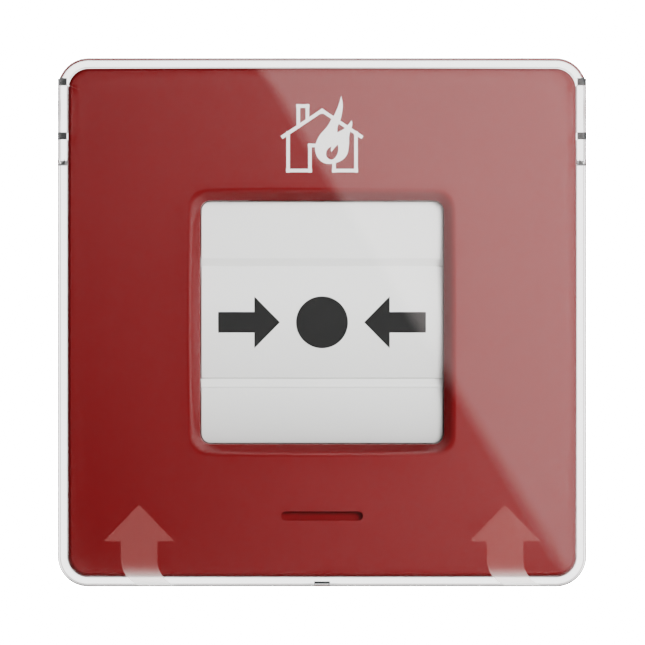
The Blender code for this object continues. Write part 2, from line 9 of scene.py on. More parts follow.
import bmesh
import bpy
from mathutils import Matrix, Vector


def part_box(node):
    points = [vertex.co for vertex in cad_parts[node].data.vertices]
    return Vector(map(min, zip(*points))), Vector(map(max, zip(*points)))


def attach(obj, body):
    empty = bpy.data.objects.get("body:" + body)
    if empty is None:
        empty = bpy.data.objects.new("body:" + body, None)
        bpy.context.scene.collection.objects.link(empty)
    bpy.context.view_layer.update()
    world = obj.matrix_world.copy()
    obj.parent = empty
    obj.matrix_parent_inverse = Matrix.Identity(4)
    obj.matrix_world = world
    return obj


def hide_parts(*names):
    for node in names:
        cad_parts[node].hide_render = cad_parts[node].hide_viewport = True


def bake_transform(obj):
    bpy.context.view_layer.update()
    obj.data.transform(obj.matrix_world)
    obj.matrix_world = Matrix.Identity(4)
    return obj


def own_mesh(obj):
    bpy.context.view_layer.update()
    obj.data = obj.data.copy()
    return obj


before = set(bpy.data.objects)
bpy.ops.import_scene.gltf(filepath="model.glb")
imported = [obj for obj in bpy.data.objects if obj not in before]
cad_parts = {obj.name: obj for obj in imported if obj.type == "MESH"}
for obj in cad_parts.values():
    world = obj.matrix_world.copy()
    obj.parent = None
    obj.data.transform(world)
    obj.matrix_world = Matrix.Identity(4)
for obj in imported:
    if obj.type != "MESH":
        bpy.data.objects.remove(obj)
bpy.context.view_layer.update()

MM = 0.001


def corners(node):
    """Lowest and highest x, d and z of a frame node, in millimetres."""
    low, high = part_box(node)
    return (low.x / MM, -high.y / MM, low.z / MM), (high.x / MM, -low.y / MM, high.z / MM)


lid_low, lid_high = corners("lid")
cover_low, cover_high = corners("front_cover")
plate_low, plate_high = corners("press_plate")
cam_low, cam_high = corners("reset_cam")
flag_low, flag_high = corners("alarm_flag")

# printed and frosted marks: how far they stand proud of a surface, and how far they reach into it
PRINT = 0.03
PRINT_SINK = 0.02

# lid
LID_HALF = lid_high[0]
LID_EAR = lid_low[1]
LID_FRONT = lid_high[1] - PRINT
LID_CORNER = 6.0
LID_WALL = 1.8
LID_INNER = lid_high[1] - LID_WALL
LID_SKIRT = 42.0
LID_TOP_SKIRT = 47.0
LID_ROUND = 0.8
LID_FILLET = 0.15
LID_FOOT = 0.35
EAR_LOW = 31.6
EAR_TOP = 46.1
EAR_TOP_ROUND = 0.6
EAR_CHAMFER = 1.0
EAR_INSIDE = 49.65
PIVOT_Z = 41.7
PIVOT_D = 38.7
PIN_RADIUS = 2.2
PIN_TIP = 47.5
PIN_ROOT = 49.9
PIN_CHAMFER = (0.25, 0.2)

# small hollows of the lid, and the dark faces at their ends: painted shade, standing in for the shade
# inside the hollows
SLIT_HALF = 1.55
SLIT_START = 46.0
SLIT_END = 50.6
SLIT_LOW = -50.8
SLIT_HIGH = -50.48
SLOT_WIDTH = 1.4
SLOTS = (PIVOT_Z - 5.4, PIVOT_Z + 5.15)
SLOT_SPAN = (49.0, 52.5)
SLOT_END = 50.3
POCKET = [(50.86, 30.73), (49.93, 30.73), (50.18, 31.7)]
POCKET_START = 47.0
POCKET_SHRINK = 0.06
END_THICK = 0.18
END_GAP = 0.01

# cover
COVER_HALF = cover_high[0] + 0.33
COVER_BACK = cover_low[1]
COVER_CORNER = 4.0
COVER_WALL = 2.2
COVER_INNER_CORNER = 2.4
COVER_FOOT = 0.3
FACE_TOP = 49.0
FACE_SAG = 0.0012
FACE_SKIN = 2.4
FACE_ROUND = 0.7
WINDOW_HALF = 23.68
WINDOW_CORNER = 2.0
WINDOW_WALL = 1.6
WINDOW_DEPTH = 42.5
FRAME_WIDTH = 2.6
PIN_HOLE_SPAN = (46.0, 50.5)
PIN_HOLE_RADIUS = PIN_RADIUS + 0.3
KEY_HOLE_SPAN = (-51.0, -46.0)
KEY_HOLE_RADIUS = 3.5
CATCH_HALF = 1.2
CATCH_SPAN = (42.6, 45.0)
CATCH_GAP = 0.03
CATCH_ROOT = -48.6
BADGE_HALF = 8.0
BADGE_ROUND = 0.9
BADGE_Z = -37.8
BADGE_FLOOR = FACE_TOP - 2.9
FLAG_SLOT_HALF = 14.1
FLAG_SLOT_Z = (22.7, 29.8)
FLAG_ROOM_HALF = 14.3
FLAG_ROOM_SPAN = (44.3, 46.6)
FLAG_ROOM_Z = (25.4, 29.9)

# operating element
PLATE_FRONT = plate_high[1]
PLATE_BACK = PLATE_FRONT - 2.2
PLATE_HALF = WINDOW_HALF - 0.06
PLATE_EDGE = 0.18
PLATE_CORNER = 0.15
PANEL_HALF = plate_high[2]
PANEL_CROWN = 0.45
LEAF_START = 12.4
LEAF_CORNER = 1.85
UPPER_CROWN = 0.22
LOWER_CROWN = 0.5
WEB_LAP = 0.3
WEB_DIP = 0.45
WEB_RISE = 0.65
WEB_THICK = 0.35
STEM_END = plate_low[1]
STEM_HALF = (8.0, 6.0)
STEM_CORNER = 0.6
LATCH_NOSE = (1.9, 4.0, 39.2, 40.4, -7.0, -5.5)

# dot and arrows, as they appear in the plane of the lid's front; the scale is for their own plane
SYMBOL_SCALE = 1.0043
DOT_RADIUS = 5.04
ARROW_TAIL, ARROW_NECK, ARROW_TIP = 20.2, 13.15, 8.2
ARROW_SHAFT, ARROW_HEAD = 2.0, 5.03

# pictogram, measured from its own base line
LINE = 0.7
LINE_LAP = 0.4
HOUSE_BASE = 29.2
HOUSE_HALF = 6.62
HOUSE_SILL = 0.4
ROOF_TOP = (0.0, 12.12)
ROOF_END = (7.9, 6.85)
ROOF_TIP = [(-0.35, 11.5), (0.35, 11.5), (0.35, 12.3), (0.0, 12.6), (-0.35, 12.3)]
DOOR_LEFT, DOOR_RIGHT = -2.36, 2.34
DOOR_TOP, DOOR_TOP_END, DOOR_RIGHT_TOP = 5.3, -0.6, 2.4
CHIMNEY_LEFT, CHIMNEY_RIGHT, CHIMNEY_TOP = -4.63, -2.86, 13.0
CHIMNEY_FEET = (9.1, 10.3)
FLAME = [(3.75, 15.05), (4.05, 13.4), (3.95, 12.0), (3.6, 10.35), (3.05, 9.0), (2.98, 7.85),
         (4.45, 8.7), (5.82, 10.25), (5.88, 9.25), (5.45, 7.85), (5.27, 6.7), (5.27, 5.7),
         (5.0, 3.85), (4.2, 2.65), (2.8, 1.92), (1.05, 1.7), (-0.25, 2.25), (-1.1, 3.4),
         (-1.38, 4.85), (-1.1, 6.0), (-0.4, 7.4), (1.0, 9.0), (1.8, 10.4), (2.45, 11.4), (3.18, 13.1)]
FLAME_TIPS = {0, 5, 7}
CORE = [(1.6, 2.55), (0.9, 3.1), (0.82, 4.0), (1.2, 4.7), (1.82, 5.12), (1.72, 4.4), (1.84, 4.0),
        (2.12, 4.4), (2.6, 5.0), (3.1, 5.5), (3.18, 4.55), (2.95, 3.55), (2.32, 2.7)]
CORE_TIPS = {4, 6, 9}

# frosted lift arrows: painted pale and solid at the first height, for the light through the lid's edge,
# faintest from the second one up
FROST_Z = (-50.9, -46.4)
LIFT_X = 35.6
LIFT_TIP, LIFT_NECK, LIFT_BEND = -35.5, -42.6, -46.2
LIFT_HEAD, LIFT_SHAFT, LIFT_CURL = 6.9, 3.54, 5.3
LIFT_END = 0.35 - LID_HALF

# numbers that put cutters well clear of the part
CLEAR_X = 60.0
CLEAR_D = 10.0
CLEAR_Z = 80.0

# painted shade on the red cover: along the rim, and in the hollow, growing from its left to its right
RED = (0.156, 0.0107, 0.0115)
RIM_BAND = (0.85, 0.1)
RIM_SHADE = 0.74
HOLLOW_BAND = (1.1, 2.5)
HOLLOW_SHADE = (0.86, 0.6)

# camera
VIEW_WIDTH = 125.5
LENS = 400.0
SENSOR = 36.0
CAMERA_X, CAMERA_Z = 0.09, -0.04
CLIP_END = 20.0

# light of the surroundings. A glow is given by its growth to the right and upwards, its level in
# the middle and its least value, and by where it starts and stops: 1 is straight ahead of the face,
# 0 is to its side.
BACKDROP = 30.0
RING_LIGHT = 2.1
NEAR_GLOW = (1.5, 0.65, 0.85, 0.02, (0.78, 0.86), (0.895, 0.93))
FAR_GLOW = (0.94, 0.21, 0.2, 0.02, (0.2, 0.4), (0.72, 0.8))
STRIP_LIGHT = 0.5
STRIP_EDGES = ((0.82, 0.92), (-0.05, 0.12))
VEIL_LIGHT = 1.0
VEIL_GLOW = (4.2, 2.3, 1.7, 0.0, (0.88, 0.94), (0.990, 0.998))
BACK_LIGHT = 3.0
BACK_EDGE = (0.35, 0.98)
SIDE_LIGHT = 0.3
SIDE_EDGE = (0.1, -0.1)
THROUGH_LIGHT = 0.8

# panel that the lid mirrors, with a soft edge slanting across it
CARD_GAP = 500.0
CARD_HIGH = 1.18
CARD_LOW = 0.05
CARD_SHARE = 1.25
CARD_COLOUR = (1.0, 0.9, 0.89, 1.0)
EDGE_START, EDGE_END = (-11.7, 49.5), (47.3, -48.2)
EDGE_WIDTHS = (2.8, 4.6)

# lamps and floor, places as (x, d, z)
LAMP_SIZE = 260.0
KEY_PLACE = (360.0, LID_FRONT + 480.0, 190.0)
KEY_POWER = 5.4
FILL_PLACE = (-460.0, -120.0, 160.0)
FILL_POWER = 1.2
FLOOR_RADIUS = 330.0
FLOOR_MIDDLE = (0.0, 26.0, -130.0)


# ---------------------------------------------------------------- mesh helpers

def face_depth(x, z):
    return FACE_TOP - FACE_SAG * (x * x + z * z)


def square_loop(half, corner, depth, steps=12, along=20):
    """Rounded square outline; depth is a number or a function of x and z."""
    ring = []
    for quarter in range(4):
        turn = quarter * math.pi / 2
        points = []
        for i in range(along + 1):
            points.append((half, (half - corner) * (2 * i / along - 1)))
        for i in range(1, steps):
            angle = i / steps * math.pi / 2
            points.append((half - corner + corner * math.cos(angle),
                           half - corner + corner * math.sin(angle)))
        for px, pz in points:
            x = px * math.cos(turn) - pz * math.sin(turn)
            z = px * math.sin(turn) + pz * math.cos(turn)
            ring.append((x, depth(x, z) if callable(depth) else depth, z))
    return ring


def outline(x0, x1, z0, z1, radii, steps=6):
    """Rectangle with one radius per corner, from the upper right one anticlockwise."""
    points = []
    middles = [(x1, z1, -1, -1), (x0, z1, 1, -1), (x0, z0, 1, 1), (x1, z0, -1, 1)]
    for quarter, ((cx, cz, sx, sz), r) in enumerate(zip(middles, radii)):
        for i in range(steps + 1):
            angle = (quarter + i / steps) * math.pi / 2
            points.append((cx + sx * r + r * math.cos(angle), cz + sz * r + r * math.sin(angle)))
    return points


def circle(u, v, radius, count=48):
    angles = [0.06 + i * 2 * math.pi / count for i in range(count)]
    return [(u + radius * math.cos(a), v + radius * math.sin(a)) for a in angles]


def place(axis, a, u, v):
    if axis == "X":
        return (a, u, v)
    if axis == "D":
        return (u, a, v)
    return (u, v, a)


def new_piece(name, bm, mat):
    """Mesh in (x, d, z) millimetres to an object in metres."""
    for vert in bm.verts:
        x, d, z = vert.co
        vert.co = Vector((x * MM, -d * MM, z * MM))
    bmesh.ops.remove_doubles(bm, verts=bm.verts, dist=0.0000002)
    bmesh.ops.recalc_face_normals(bm, faces=bm.faces)
    mesh = bpy.data.meshes.new(name)
    bm.to_mesh(mesh)
    bm.free()
    obj = bpy.data.objects.new(name, mesh)
    bpy.context.scene.collection.objects.link(obj)
    if mat is not None:
        mesh.materials.append(mat)
    return obj


def loft(name, loops, mat=None, ring=False):
    bm = bmesh.new()
    rows = [[bm.verts.new(p) for p in loop] for loop in loops]
    count = len(rows[0])
    pairs = list(zip(rows, rows[1:]))
    if ring:
        pairs.append((rows[-1], rows[0]))
    for low, high in pairs:
        for i in range(count):
            j = (i + 1) % count
            bm.faces.new((low[i], low[j], high[j], high[i]))
    if not ring:
        bm.faces.new(rows[0])
        bm.faces.new(list(reversed(rows[-1])))
    return new_piece(name, bm, mat)


def prism(name, shape, start, end, mat=None, axis="D"):
    return loft(name, [[place(axis, a, u, v) for u, v in shape] for a in (start, end)], mat)


def block(x0, x1, d0, d1, z0, z1, radius=0.0):
    """Cutter: a box, corners of its front outline rounded if asked."""
    shape = [(x0, z0), (x1, z0), (x1, z1), (x0, z1)]
    if radius:
        shape = outline(x0, x1, z0, z1, [radius] * 4)
    return prism("tool", shape, d0, d1)


def side_block(x0, x1, d0, d1, z0, z1, radius):
    """Cutter with its side outline rounded."""
    return prism("tool", outline(d0, d1, z0, z1, [radius] * 4), x0, x1, axis="X")


def turned(name, steps, mat=None, axis="D", centre=(0.0, 0.0), count=48):
    loops = []
    for a, radius in steps:
        loops.append([place(axis, a, u, v) for u, v in circle(centre[0], centre[1], radius, count)])
    return loft(name, loops, mat)


def combine(obj, tool, operation):
    step = obj.modifiers.new("step", "BOOLEAN")
    step.operation = operation
    step.solver = "EXACT"
    step.object = tool
    bpy.context.view_layer.update()
    graph = bpy.context.evaluated_depsgraph_get()
    mesh = bpy.data.meshes.new_from_object(obj.evaluated_get(graph))
    obj.modifiers.clear()
    old = obj.data
    obj.data = mesh
    bpy.data.meshes.remove(old)
    bpy.data.objects.remove(tool, do_unlink=True)
    return obj


def cut(obj, tool):
    return combine(obj, tool, "DIFFERENCE")


def weld(obj, tool):
    return combine(obj, tool, "UNION")


def triangulate(obj):
    bm = bmesh.new()
    bm.from_mesh(obj.data)
    bmesh.ops.triangulate(bm, faces=bm.faces)
    bm.to_mesh(obj.data)
    bm.free()


def smooth(obj, angle=30.0):
    """Smooth shading that keeps real edges sharp and flat faces flat."""
    for poly in obj.data.polygons:
        poly.use_smooth = True
    obj.data.set_sharp_from_angle(angle=math.radians(angle))
    even = obj.modifiers.new("even", "WEIGHTED_NORMAL")
    even.keep_sharp = True
    even.weight = 100
    return obj


def soften(obj, width, segments=2, angle=35.0):
    """Rounds the edges a little and shades the rest smooth."""
    edge = obj.modifiers.new("edge", "BEVEL")
    edge.width = width * MM
    edge.segments = segments
    edge.limit_method = "ANGLE"
    edge.angle_limit = math.radians(angle)
    edge.use_clamp_overlap = True
    edge.miter_outer = "MITER_ARC"
    return smooth(obj, angle)


def dress(obj, mat):
    """Gives an object this one material in place of any other."""
    obj.data.materials.clear()
    obj.data.materials.append(mat)


def slice_up(bm, axis, places):
    """Cuts the faces along planes square to an axis, so that they can be bent."""
    for distance in places:
        point, normal = Vector((0, 0, 0)), Vector((0, 0, 0))
        point[axis] = distance
        normal[axis] = 1.0
        bmesh.ops.bisect_plane(bm, geom=bm.verts[:] + bm.edges[:] + bm.faces[:], plane_co=point,
                               plane_no=normal, dist=0.0000001)


def slab(name, x0, x1, z0, z1, back, front, radii, edge, mat):
    """Plate with rounded corners, a chamfered back edge and a rolled front edge."""
    loops = []
    inset = [(back, edge / 2), (back + edge / 2, 0.0), (front - edge, 0.0)]
    for i in range(1, 7):
        angle = i / 6 * math.pi / 2
        inset.append((front - edge + edge * math.sin(angle), edge * (1 - math.cos(angle))))
    for depth, step in inset:
        inner = [max(r - step, 0.05) for r in radii]
        shape = outline(x0 + step, x1 - step, z0 + step, z1 - step, inner)
        loops.append([(x, depth, z) for x, z in shape])
    return loft(name, loops, mat)


def crown(obj, drop, step=0.6):
    """Bows the front of a flat plate about its long middle line."""
    bm = bmesh.new()
    bm.from_mesh(obj.data)
    heights = [v.co.z for v in bm.verts]
    low, high = min(heights), max(heights)
    middle, half = (low + high) / 2, (high - low) / 2
    count = int((high - low) / (step * MM))
    slice_up(bm, 2, [low + (high - low) * i / count for i in range(1, count)])
    front = min(v.co.y for v in bm.verts)
    for vert in bm.verts:
        if vert.co.y < front + 0.5 * MM:
            vert.co.y += drop * MM * ((vert.co.z - middle) / half) ** 2
    bm.to_mesh(obj.data)
    bm.free()
    return smooth(obj)


def drape(obj, depth, thickness, step=1.5):
    """Lays a flat drawing, 0 to 1 deep, onto a curved surface."""
    bm = bmesh.new()
    bm.from_mesh(obj.data)
    for axis in (0, 2):
        values = [v.co[axis] for v in bm.verts]
        low, high = min(values) / MM, max(values) / MM
        count = int((high - low) / step)
        slice_up(bm, axis, [(low + i * step) * MM for i in range(1, count + 1)])
    for vert in bm.verts:
        front = -vert.co.y / MM > 0.5
        base = depth(vert.co.x / MM, vert.co.z / MM)
        vert.co.y = -(base + (thickness if front else -PRINT_SINK)) * MM
    bm.to_mesh(obj.data)
    bm.free()


# ---------------------------------------------------------------- materials

def shader_of(name):
    """New material with its main shader and its node tree."""
    mat = bpy.data.materials.new(name)
    mat.use_nodes = True
    return mat, mat.node_tree.nodes["Principled BSDF"], mat.node_tree


def node(tree, kind, **values):
    made = tree.nodes.new(kind)
    for key, value in values.items():
        setattr(made, key, value)
    return made


def noise(tree, scale, detail=3.0, rough=0.5):
    """Noise over the object's own coordinates; scale is in features per metre."""
    where = node(tree, "ShaderNodeTexCoord")
    made = node(tree, "ShaderNodeTexNoise")
    made.inputs["Scale"].default_value = scale
    made.inputs["Detail"].default_value = detail
    made.inputs["Roughness"].default_value = rough
    tree.links.new(where.outputs["Object"], made.inputs["Vector"])
    return made.outputs["Fac"]


def ramp(tree, value, low, high):
    """Maps 0..1 to low..high."""
    made = node(tree, "ShaderNodeMapRange")
    made.inputs["To Min"].default_value = low
    made.inputs["To Max"].default_value = high
    tree.links.new(value, made.inputs["Value"])
    return made.outputs["Result"]


def tint(tree, fac, first, second):
    """Colour between two colours."""
    made = node(tree, "ShaderNodeMix", data_type="RGBA")
    made.inputs[6].default_value = (*first, 1.0)
    made.inputs[7].default_value = (*second, 1.0)
    tree.links.new(fac, made.inputs[0])
    return made.outputs[2]


def bump(tree, shader, height, strength, distance):
    made = node(tree, "ShaderNodeBump")
    made.inputs["Strength"].default_value = strength
    made.inputs["Distance"].default_value = distance * MM
    tree.links.new(height, made.inputs["Height"])
    tree.links.new(made.outputs["Normal"], shader.inputs["Normal"])


def moulded(name, colour, rough, grain=0.02, mottle=0.06, gloss_level=0.5):
    """Injection-moulded plastic: slow colour drift, fine spark-eroded grain, uneven gloss."""
    mat, shader, tree = shader_of(name)
    drift = noise(tree, 35.0, 4.0)
    darker = tuple(c * (1 - mottle) for c in colour)
    lighter = tuple(c * (1 + mottle) for c in colour)
    tree.links.new(tint(tree, drift, darker, lighter), shader.inputs["Base Color"])
    uneven = noise(tree, 160.0, 5.0, 0.6)
    tree.links.new(ramp(tree, uneven, rough * 0.9, rough * 1.1), shader.inputs["Roughness"])
    shader.inputs["IOR"].default_value = 1.5
    shader.inputs["Specular IOR Level"].default_value = gloss_level
    bump(tree, shader, noise(tree, 5200.0, 2.0), 0.35, grain)
    return mat


def between(tree, value, low, high, first, last, kind="SMOOTHSTEP"):
    """Goes from first to last as the value goes from low to high."""
    made = node(tree, "ShaderNodeMapRange", interpolation_type=kind)
    for name, number in (("From Min", low), ("From Max", high), ("To Min", first), ("To Max", last)):
        made.inputs[name].default_value = number
    tree.links.new(value, made.inputs["Value"])
    return made.outputs["Result"]


def feed(tree, socket, value):
    """Sets a socket to a number, or links another socket to it."""
    if isinstance(value, float):
        socket.default_value = value
    else:
        tree.links.new(value, socket)


def maths(tree, kind, first, second):
    made = node(tree, "ShaderNodeMath", operation=kind)
    feed(tree, made.inputs[0], first)
    feed(tree, made.inputs[1], second)
    return made.outputs["Value"]


def mixed(tree, share, first, second):
    """First where the share is 0, second where it is 1."""
    made = node(tree, "ShaderNodeMix", data_type="FLOAT")
    tree.links.new(share, made.inputs[0])
    feed(tree, made.inputs[2], first)
    feed(tree, made.inputs[3], second)
    return made.outputs[0]


def vector_maths(tree, kind, first, second=None):
    """Output of a vector operation; the second vector, if there is one, is fixed."""
    made = node(tree, "ShaderNodeVectorMath", operation=kind)
    tree.links.new(first, made.inputs[0])
    if second is not None:
        made.inputs[1].default_value = second
    return made.outputs["Value" if kind in ("LENGTH", "DOT_PRODUCT") else "Vector"]


def place_along(tree, axis):
    """The object's own coordinate along an axis, in metres."""
    where = node(tree, "ShaderNodeTexCoord")
    split = node(tree, "ShaderNodeSeparateXYZ")
    tree.links.new(where.outputs["Object"], split.inputs["Vector"])
    return split.outputs[axis]


def past_square(tree, half):
    """How far a point lies outside a square about the middle of the face."""
    where = node(tree, "ShaderNodeTexCoord")
    flat = vector_maths(tree, "MULTIPLY", where.outputs["Object"], (1.0, 0.0, 1.0))
    size = vector_maths(tree, "ABSOLUTE", flat)
    past = vector_maths(tree, "SUBTRACT", size, (half * MM, 0.0, half * MM))
    return vector_maths(tree, "LENGTH", vector_maths(tree, "MAXIMUM", past, (0.0, 0.0, 0.0)))


def paint_shade(tree, shader, share):
    """Paints shade into the base colour: scales it by a share."""
    base = shader.inputs["Base Color"].links[0].from_socket
    darker = node(tree, "ShaderNodeVectorMath", operation="SCALE")
    tree.links.new(base, darker.inputs[0])
    tree.links.new(share, darker.inputs["Scale"])
    tree.links.new(darker.outputs[0], shader.inputs["Base Color"])


def cover_plastic(name, colour):
    """Polished red cover with painted shade: darker and less glossy along its rounded rim, and darker in
    the hollow round the window, more so on its right.
    """
    mat = moulded(name, colour, 0.16, grain=0.002, mottle=0.03)
    tree = mat.node_tree
    shader = tree.nodes["Principled BSDF"]
    # painted shade: a darker band along the rim, on the faces that look forward
    rim = between(tree, past_square(tree, COVER_HALF - COVER_CORNER), (COVER_CORNER - RIM_BAND[0]) * MM,
                  (COVER_CORNER - RIM_BAND[1]) * MM, 1.0, RIM_SHADE)
    facing = node(tree, "ShaderNodeNewGeometry")
    split = node(tree, "ShaderNodeSeparateXYZ")
    tree.links.new(facing.outputs["True Normal"], split.inputs["Vector"])
    front = between(tree, split.outputs["Y"], 0.0, -0.3, 0.0, 1.0)
    painted_rim_shade = mixed(tree, front, 1.0, rim)
    # painted shade in the hollow round the window, deeper towards its right side
    inside = between(tree, place_along(tree, "X"), -WINDOW_HALF * MM, WINDOW_HALF * MM, *HOLLOW_SHADE,
                     "LINEAR")
    outside = between(tree, past_square(tree, WINDOW_HALF - WINDOW_CORNER),
                      (WINDOW_CORNER + HOLLOW_BAND[0]) * MM, (WINDOW_CORNER + HOLLOW_BAND[1]) * MM,
                      0.0, 1.0)
    painted_hollow_shade = mixed(tree, outside, inside, 1.0)
    paint_shade(tree, shader, maths(tree, "MULTIPLY", painted_rim_shade, painted_hollow_shade))
    # the painted rim shade also lowers the gloss there
    tree.links.new(ramp(tree, painted_rim_shade, -0.5, 0.5), shader.inputs["Specular IOR Level"])
    return mat


def white_plastic(name, colour, top, bottom, share):
    """White plastic with painted shade: its colour darkens from one height down to another, as light
    falling off downwards would.
    """
    mat = moulded(name, colour, 0.42, mottle=0.012)
    tree = mat.node_tree
    # painted shade: the colour darkens towards the bottom
    painted_falloff = between(tree, place_along(tree, "Z"), bottom * MM, top * MM, share, 1.0, "LINEAR")
    paint_shade(tree, tree.nodes["Principled BSDF"], painted_falloff)
    return mat


def clear_plastic(name):
    """Polished clear polycarbonate with the faintest hairline haze."""
    mat, shader, tree = shader_of(name)
    shader.inputs["Base Color"].default_value = (0.985, 0.99, 0.988, 1.0)
    shader.inputs["Transmission Weight"].default_value = 1.0
    shader.inputs["IOR"].default_value = 1.58
    haze = noise(tree, 900.0, 6.0, 0.7)
    tree.links.new(ramp(tree, haze, 0.0, 0.012), shader.inputs["Roughness"])
    return mat


def metal(name, colour, rough, brushed=900.0):
    """Bare metal with a fine drift in colour and gloss."""
    mat, shader, tree = shader_of(name)
    drift = noise(tree, brushed, 4.0)
    darker = tuple(c * 0.9 for c in colour)
    tree.links.new(tint(tree, drift, darker, colour), shader.inputs["Base Color"])
    shader.inputs["Metallic"].default_value = 1.0
    tree.links.new(ramp(tree, noise(tree, brushed * 2, 3.0), rough - 0.06, rough + 0.08),
                   shader.inputs["Roughness"])
    bump(tree, shader, noise(tree, brushed * 3, 2.0), 0.3, 0.01)
    return mat


def board_finish(name):
    """Solder-masked board: copper lanes show as a lighter, raised pattern."""
    mat, shader, tree = shader_of(name)
    where = node(tree, "ShaderNodeTexCoord")
    lanes = node(tree, "ShaderNodeTexBrick")
    lanes.inputs["Scale"].default_value = 240.0
    lanes.inputs["Mortar Size"].default_value = 0.03
    lanes.inputs["Color1"].default_value = (0.016, 0.12, 0.05, 1.0)
    lanes.inputs["Color2"].default_value = (0.02, 0.15, 0.06, 1.0)
    lanes.inputs["Mortar"].default_value = (0.05, 0.26, 0.11, 1.0)
    turn = node(tree, "ShaderNodeMapping")
    turn.inputs["Rotation"].default_value = (math.pi / 2, 0.0, 0.0)
    tree.links.new(where.outputs["Object"], turn.inputs["Vector"])
    tree.links.new(turn.outputs["Vector"], lanes.inputs["Vector"])
    tree.links.new(lanes.outputs["Color"], shader.inputs["Base Color"])
    tree.links.new(ramp(tree, noise(tree, 400.0), 0.3, 0.42), shader.inputs["Roughness"])
    bump(tree, shader, lanes.outputs["Fac"], 0.4, 0.03)
    return mat


def cell_finish(name):
    """Shrink sleeve of a cylindrical cell: blue body with a dark band at one end."""
    mat, shader, tree = shader_of(name)
    where = node(tree, "ShaderNodeTexCoord")
    wave = node(tree, "ShaderNodeTexWave", bands_direction="X")
    wave.inputs["Scale"].default_value = 9.2
    tree.links.new(where.outputs["Object"], wave.inputs["Vector"])
    band = between(tree, wave.outputs["Fac"], 0.82, 0.86, 0.0, 1.0)
    tree.links.new(tint(tree, band, (0.07, 0.12, 0.26), (0.02, 0.02, 0.025)),
                   shader.inputs["Base Color"])
    tree.links.new(ramp(tree, noise(tree, 700.0), 0.22, 0.34), shader.inputs["Roughness"])
    return mat


def frosted(name, low, high):
    """Sandblasted marking on the lid, faint over the face with a painted red glow of the cover below,
    painted pale and solid towards the lid's edge.
    """
    mat, shader, tree = shader_of(name)
    shader.inputs["Roughness"].default_value = 0.65
    # painted light: paler and more solid towards the lid's lower edge
    painted_edge_light = between(tree, place_along(tree, "Z"), high * MM, low * MM, 0.0, 1.0, "LINEAR")
    tree.links.new(ramp(tree, maths(tree, "POWER", painted_edge_light, 3.0), 0.034, 0.72), shader.inputs["Alpha"])
    speckle = noise(tree, 9000.0, 2.0)
    # painted red glow of the cover under the marking
    painted_red_glow = tint(tree, speckle, (0.95, 0.52, 0.47), (1.0, 0.58, 0.53))
    pale = node(tree, "ShaderNodeMix", data_type="RGBA")
    pale.inputs[7].default_value = (0.9, 0.9, 0.89, 1.0)
    tree.links.new(painted_edge_light, pale.inputs[0])
    tree.links.new(painted_red_glow, pale.inputs[6])
    tree.links.new(pale.outputs[2], shader.inputs["Base Color"])
    return mat


MATS = {
    "red": cover_plastic("cover_red_plastic", RED),
    "rear": moulded("rear_red_plastic", tuple(c * 0.92 for c in RED), 0.42, grain=0.04),
    "wall": moulded("wall_plate_plastic", tuple(c * 0.85 for c in RED), 0.5, grain=0.05),
    # plate and leaves carry painted shade that darkens them downwards
    "plate": white_plastic("plate_white_plastic", (0.80, 0.80, 0.79), 5.0, -11.6, 0.84),
    "leaf": white_plastic("leaf_white_plastic", (0.79, 0.79, 0.78), -7.0, -24.0, 0.70),
    # the hinge strips are the plates' own plastic, painted a little darker for the shade in their grooves
    "groove": moulded("hinge_strip_plastic_painted_shade", (0.765, 0.765, 0.755), 0.5, mottle=0.012),
    "ink": moulded("symbol_ink", (0.0255, 0.0255, 0.0255), 0.6, grain=0.01, gloss_level=0.2),
    "print": moulded("pictogram_ink", (0.78, 0.78, 0.77), 0.5, grain=0.01, mottle=0.02),
    "yellow": moulded("flag_yellow_plastic", (0.80, 0.52, 0.02), 0.45),
    "frame": moulded("frame_grey_plastic", (0.08, 0.08, 0.085), 0.55),
    # black plastic; the same finish paints the shade at the end of the lid's slit
    "dark": moulded("black_plastic_and_slit_shade", (0.025, 0.025, 0.027), 0.5),
    "rubber": moulded("seal_rubber", (0.018, 0.018, 0.018), 0.8, grain=0.05),
    "shade": moulded("slot_shade", (0.035, 0.036, 0.036), 0.6),
    "chip": moulded("component_black", (0.022, 0.022, 0.024), 0.4),
    "cam": moulded("cam_white_plastic", (0.66, 0.66, 0.65), 0.45, mottle=0.02),
    "pawl": moulded("pawl_grey_plastic", (0.25, 0.25, 0.27), 0.5),
    "board": board_finish("board_mask"),
    "cell": cell_finish("cell_sleeve"),
    "spring": metal("spring_steel", (0.70, 0.70, 0.71), 0.25),
    "screw": metal("zinc_screw", (0.62, 0.62, 0.64), 0.3, 1400.0),
    "shield": metal("shield_tin", (0.74, 0.75, 0.76), 0.32),
    "clear": clear_plastic("lid_clear_plastic"),
    "frost": frosted("lid_frost", *FROST_Z),
}


# ---------------------------------------------------------------- housing

def face_ring(half, corner, drop):
    """Rounded square on the dome, or at a depth below it."""
    return square_loop(half, corner, lambda x, z: face_depth(x, z) - drop)


def window_frame_loops():
    """Frame round the window: short riser that hides the flag, slope, roll onto the dome."""
    riser = flag_high[1] + 0.2 - PLATE_FRONT
    loops = [square_loop(WINDOW_HALF, WINDOW_CORNER, PLATE_FRONT - 0.2),
             square_loop(WINDOW_HALF + 0.04, WINDOW_CORNER, PLATE_FRONT + 0.3),
             square_loop(WINDOW_HALF + 0.12, WINDOW_CORNER + 0.05, PLATE_FRONT + riser)]
    start = 0.12
    low = PLATE_FRONT + riser
    count = 18
    straight = 0.5
    rise = straight + (1 - straight) / 2
    for i in range(1, count + 1):
        t = i / count
        share = start + (FRAME_WIDTH - start) * t
        over = max(t - straight, 0.0)
        lift = (t - over * over / (2 * (1 - straight))) / rise

        def depth(x, z):
            return low + (face_depth(x, z) - low) * lift
        loops.append(square_loop(WINDOW_HALF + share, WINDOW_CORNER + 0.1 + 1.8 * t, depth))
    return loops


